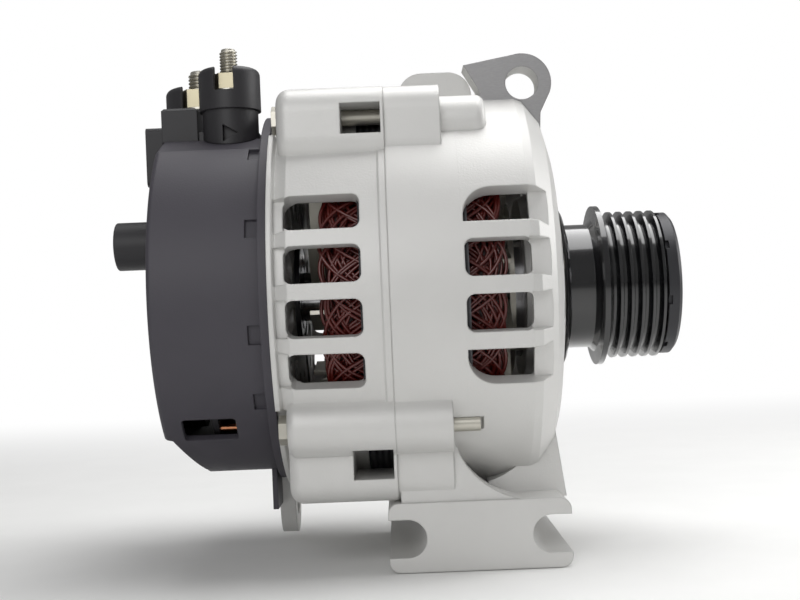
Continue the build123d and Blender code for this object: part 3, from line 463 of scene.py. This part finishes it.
def makeStud(nodeName):
    spec = studSpecs[nodeName]
    low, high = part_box(nodeName)
    centre = (low + high) / 2
    pitch = spec["pitch"] * mm
    crest = spec["radius"] * mm
    root = crest - threadSpec["depthShare"] * pitch
    turns = int((high.z - low.z - threadSpec["bare"] * mm) / pitch)
    profile = [(root, 0), (crest, threadSpec["crestFrom"] * pitch), (crest, threadSpec["crestTo"] * pitch),
               (root, pitch)]
    deselect()
    bpy.ops.mesh.primitive_plane_add(size=1 * mm)
    thread = bpy.context.object
    thread.data.clear_geometry()
    thread.data.from_pydata([(r, 0, z) for r, z in profile], [(0, 1), (1, 2), (2, 3)], [])
    screw = thread.modifiers.new("turns", "SCREW")
    screw.angle = math.tau
    screw.screw_offset = pitch
    screw.iterations = turns
    screw.steps = screw.render_steps = threadSpec["steps"]
    screw.use_merge_vertices = True
    screw.merge_threshold = threadSpec["merge"] * mm
    pick(thread)
    bpy.ops.object.modifier_apply(modifier="turns")
    threadBottom = high.z - threadSpec["topGap"] * mm - turns * pitch - pitch
    thread.location = (centre.x, centre.y, threadBottom)
    deselect()
    bpy.ops.mesh.primitive_cylinder_add(
        vertices=48, radius=root + threadSpec["coreOver"] * mm, depth=high.z - low.z,
        location=(centre.x, centre.y, centre.z))
    rod = bpy.context.object
    bevelEdges(rod, spec["rodBevel"] * mm)
    headDeep = spec["headDeep"] * mm
    deselect()
    bpy.ops.mesh.primitive_cylinder_add(
        vertices=6, radius=(high.x - low.x) / 2, depth=headDeep,
        location=(centre.x, centre.y, low.z + headDeep / 2))
    head = bpy.context.object
    bevelEdges(head, spec["headBevel"] * mm)
    stud = joinAll([rod, thread, head])
    bpy.ops.object.shade_smooth_by_angle(angle=math.radians(threadSpec["smoothAngle"]))
    settle(stud, nodeName + "_thread", "zincSteel", "housing", "zinc_steel", nodeName)


for studName in studSpecs:
    makeStud(studName)


# distances along y over which the floor fades to plain white for the camera are in metres
floorSpec = {"size": 60.0, "under": 0.0002, "fade": (0.1, 0.7), "dark": (0.84, 0.84, 0.83),
             "light": (0.9, 0.9, 0.89), "cloudScale": 30, "rough": 0.9, "bump": 0.2, "depth": 0.5}
worldLevel = 0.24
lampSpecs = {
    "topLamp": {"place": (0.12, 0.1, 0.75), "aim": (0, 0, 0.08), "size": 0.6, "power": 4.4},
    "frontLamp": {"place": (-0.25, -0.8, 0.45), "aim": (0, 0, 0.08), "size": 0.5, "power": 2.3},
    "sideLamp": {"place": (0.7, 0.1, 0.35), "aim": (0, 0, 0.09), "size": 0.4, "power": 2.2},
}


def stageFloor():
    spec = floorSpec
    deselect()
    bpy.ops.mesh.primitive_plane_add(size=spec["size"], location=(0, 0, -spec["under"]))
    floor = bpy.context.object
    floor.name = "floor"
    s = Shader("paleFloor")
    place = s.place()
    cloud = s.noise(place, spec["cloudScale"], 4)
    s.set("Base Color", s.mix(cloud, spec["dark"], spec["light"]))
    s.set("Roughness", spec["rough"])
    s.set("Normal", s.bump(cloud, spec["bump"], spec["depth"] * mm))
    near, far = spec["fade"]
    beyond = s.node("ShaderNodeMapRange", {"interpolation_type": "SMOOTHSTEP"}, {
        0: s.axes(place)[1], 1: near, 2: far, 3: 0.0, 4: 1.0})
    seen = s.node("ShaderNodeLightPath", {}, {}, "Is Camera Ray")
    glow = s.node("ShaderNodeEmission", {}, {"Color": (1, 1, 1, 1), "Strength": 1.0})
    lit = Wire(s, s.bsdf.outputs[0])
    both = s.node("ShaderNodeMixShader", {}, {0: beyond * seen, 1: lit, 2: glow})
    s.tree.links.new(both.socket, s.tree.nodes["Material Output"].inputs["Surface"])
    floor.data.materials.append(s.material)


def stageLight(name, spec):
    data = bpy.data.lights.new(name, "AREA")
    data.energy = spec["power"]
    data.size = spec["size"]
    lamp = bpy.data.objects.new(name, data)
    bpy.context.collection.objects.link(lamp)
    lamp.location = spec["place"]
    lamp.rotation_euler = (Vector(spec["aim"]) - Vector(spec["place"])).to_track_quat("-Z", "Y").to_euler()


# the world is white to the camera and dim as a light
def stageWorld():
    world = bpy.data.worlds.new("studio")
    bpy.context.scene.world = world
    world.use_nodes = True
    tree = world.node_tree
    background = tree.nodes["Background"]
    background.inputs["Color"].default_value = (1, 1, 1, 1)
    rays = tree.nodes.new("ShaderNodeLightPath")
    seen = tree.nodes.new("ShaderNodeMath")
    seen.operation = "MAXIMUM"
    tree.links.new(rays.outputs["Is Camera Ray"], seen.inputs[0])
    tree.links.new(rays.outputs["Is Transmission Ray"], seen.inputs[1])
    strength = tree.nodes.new("ShaderNodeMath")
    strength.operation = "MULTIPLY_ADD"
    strength.inputs[1].default_value = 1 - worldLevel
    strength.inputs[2].default_value = worldLevel
    tree.links.new(seen.outputs[0], strength.inputs[0])
    tree.links.new(strength.outputs[0], background.inputs["Strength"])


stageFloor()
stageWorld()
for lampName, lampSpec in lampSpecs.items():
    stageLight(lampName, lampSpec)
print("floor and lamps")

# the camera fitted to the photograph; distances in millimetres, roll in degrees
cameraSpec = {"sensor": 36, "lens": 55.5, "clipStart": 0.01, "shiftY": 0.0275, "beyondSeam": 2.6,
              "distance": 430, "drop": 10, "roll": 2.32}
cameraData = bpy.data.cameras.new("camera")
cameraData.sensor_width = cameraSpec["sensor"]
cameraData.lens = cameraSpec["lens"]
cameraData.clip_start = cameraSpec["clipStart"]
cameraData.shift_y = cameraSpec["shiftY"]
camera = bpy.data.objects.new("camera", cameraData)
bpy.context.collection.objects.link(camera)
camera.location = (seamX + cameraSpec["beyondSeam"] * mm, -cameraSpec["distance"] * mm,
                   shaftZ - cameraSpec["drop"] * mm)
camera.rotation_euler = (math.radians(90), math.radians(cameraSpec["roll"]), 0)
bpy.context.scene.camera = camera
bpy.context.scene.view_settings.view_transform = "Standard"
